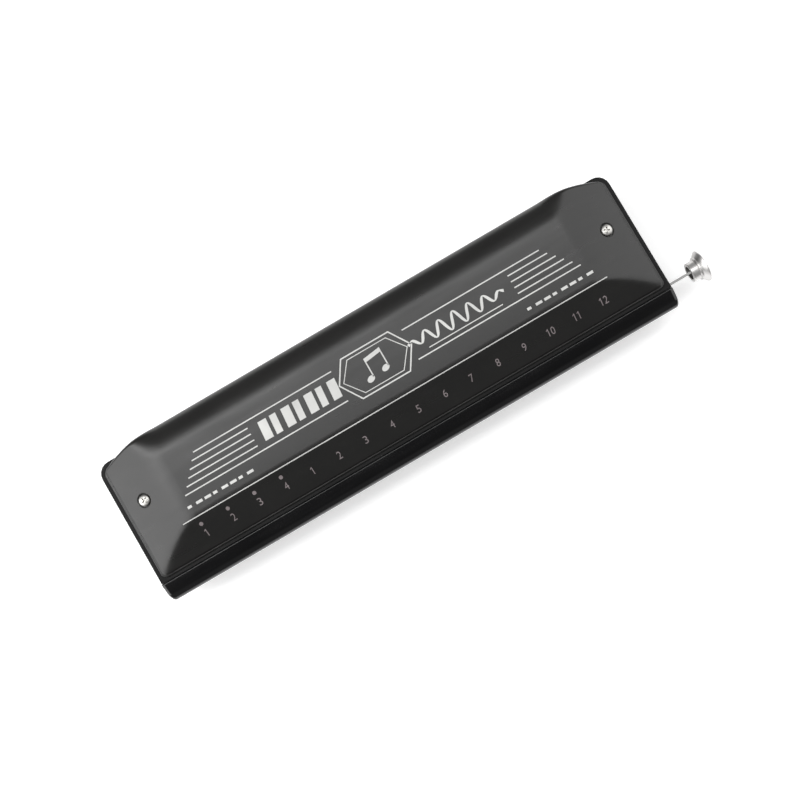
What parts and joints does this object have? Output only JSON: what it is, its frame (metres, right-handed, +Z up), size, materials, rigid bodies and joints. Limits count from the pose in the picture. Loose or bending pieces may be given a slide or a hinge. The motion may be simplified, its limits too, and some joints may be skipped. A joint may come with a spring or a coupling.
{
  "type": "chromatic harmonica",
  "caption": "Long chromatic harmonica with full-length black covers, a rounded mouthpiece along the front and a spring-returned slide with a round button at one end.",
  "frame": {"origin": "on the resting plane, at the middle of the flat top of the lower cover, halfway along the comb and halfway through its depth", "axes": "+X along the body towards the slide button, -Y the mouthpiece side, +Y the rear sound opening, +Z up through the covers"},
  "size_m": [0.1976, 0.0497, 0.0289],
  "materials": {
    "cover_paint": "satin black powder coat with white print",
    "comb_plastic": "moulded black",
    "mouthpiece_plastic": "polished black",
    "reed_brass": "milled",
    "steel": "brushed",
    "chrome": "polished",
    "bumper_rubber": "soft matt"
  },
  "bodies": {
    "body": {"comb": "comb_plastic", "upper_cover": "cover_paint", "lower_cover": "cover_paint", "upper_reed_plate": "reed_brass", "lower_reed_plate": "reed_brass", "mouthpiece": "mouthpiece_plastic", "slide_front_plate": "steel", "slide_back_plate": "steel", "slide_spring": "steel", "spring_pin": "steel", "cover_screw_left": "chrome", "cover_screw_right": "chrome", "cover_nut_left": "chrome", "cover_nut_right": "chrome", "mouthpiece_screw_left": "steel", "mouthpiece_screw_right": "steel", "slide_bumper_left": "bumper_rubber", "slide_bumper_right": "bumper_rubber", "upper_plate_screw_1": "steel", "upper_plate_screw_2": "steel", "upper_plate_screw_3": "steel", "upper_plate_screw_4": "steel", "upper_plate_screw_5": "steel", "upper_plate_screw_6": "steel", "lower_plate_screw_1": "steel", "lower_plate_screw_2": "steel", "lower_plate_screw_3": "steel", "lower_plate_screw_4": "steel", "lower_plate_screw_5": "steel", "lower_plate_screw_6": "steel"},
    "slide_unit": {"slide": "steel", "slide_button": "chrome"}
  },
  "joints": [
    {"name": "slide_travel", "type": "slide", "parent": "body", "child": "slide_unit", "axis": [1, 0, 0], "range_m": [-0.00475, 0], "stiffness_N_per_m": 200, "springref_m": 0.006, "deforming": ["slide_spring"]}
  ]
}
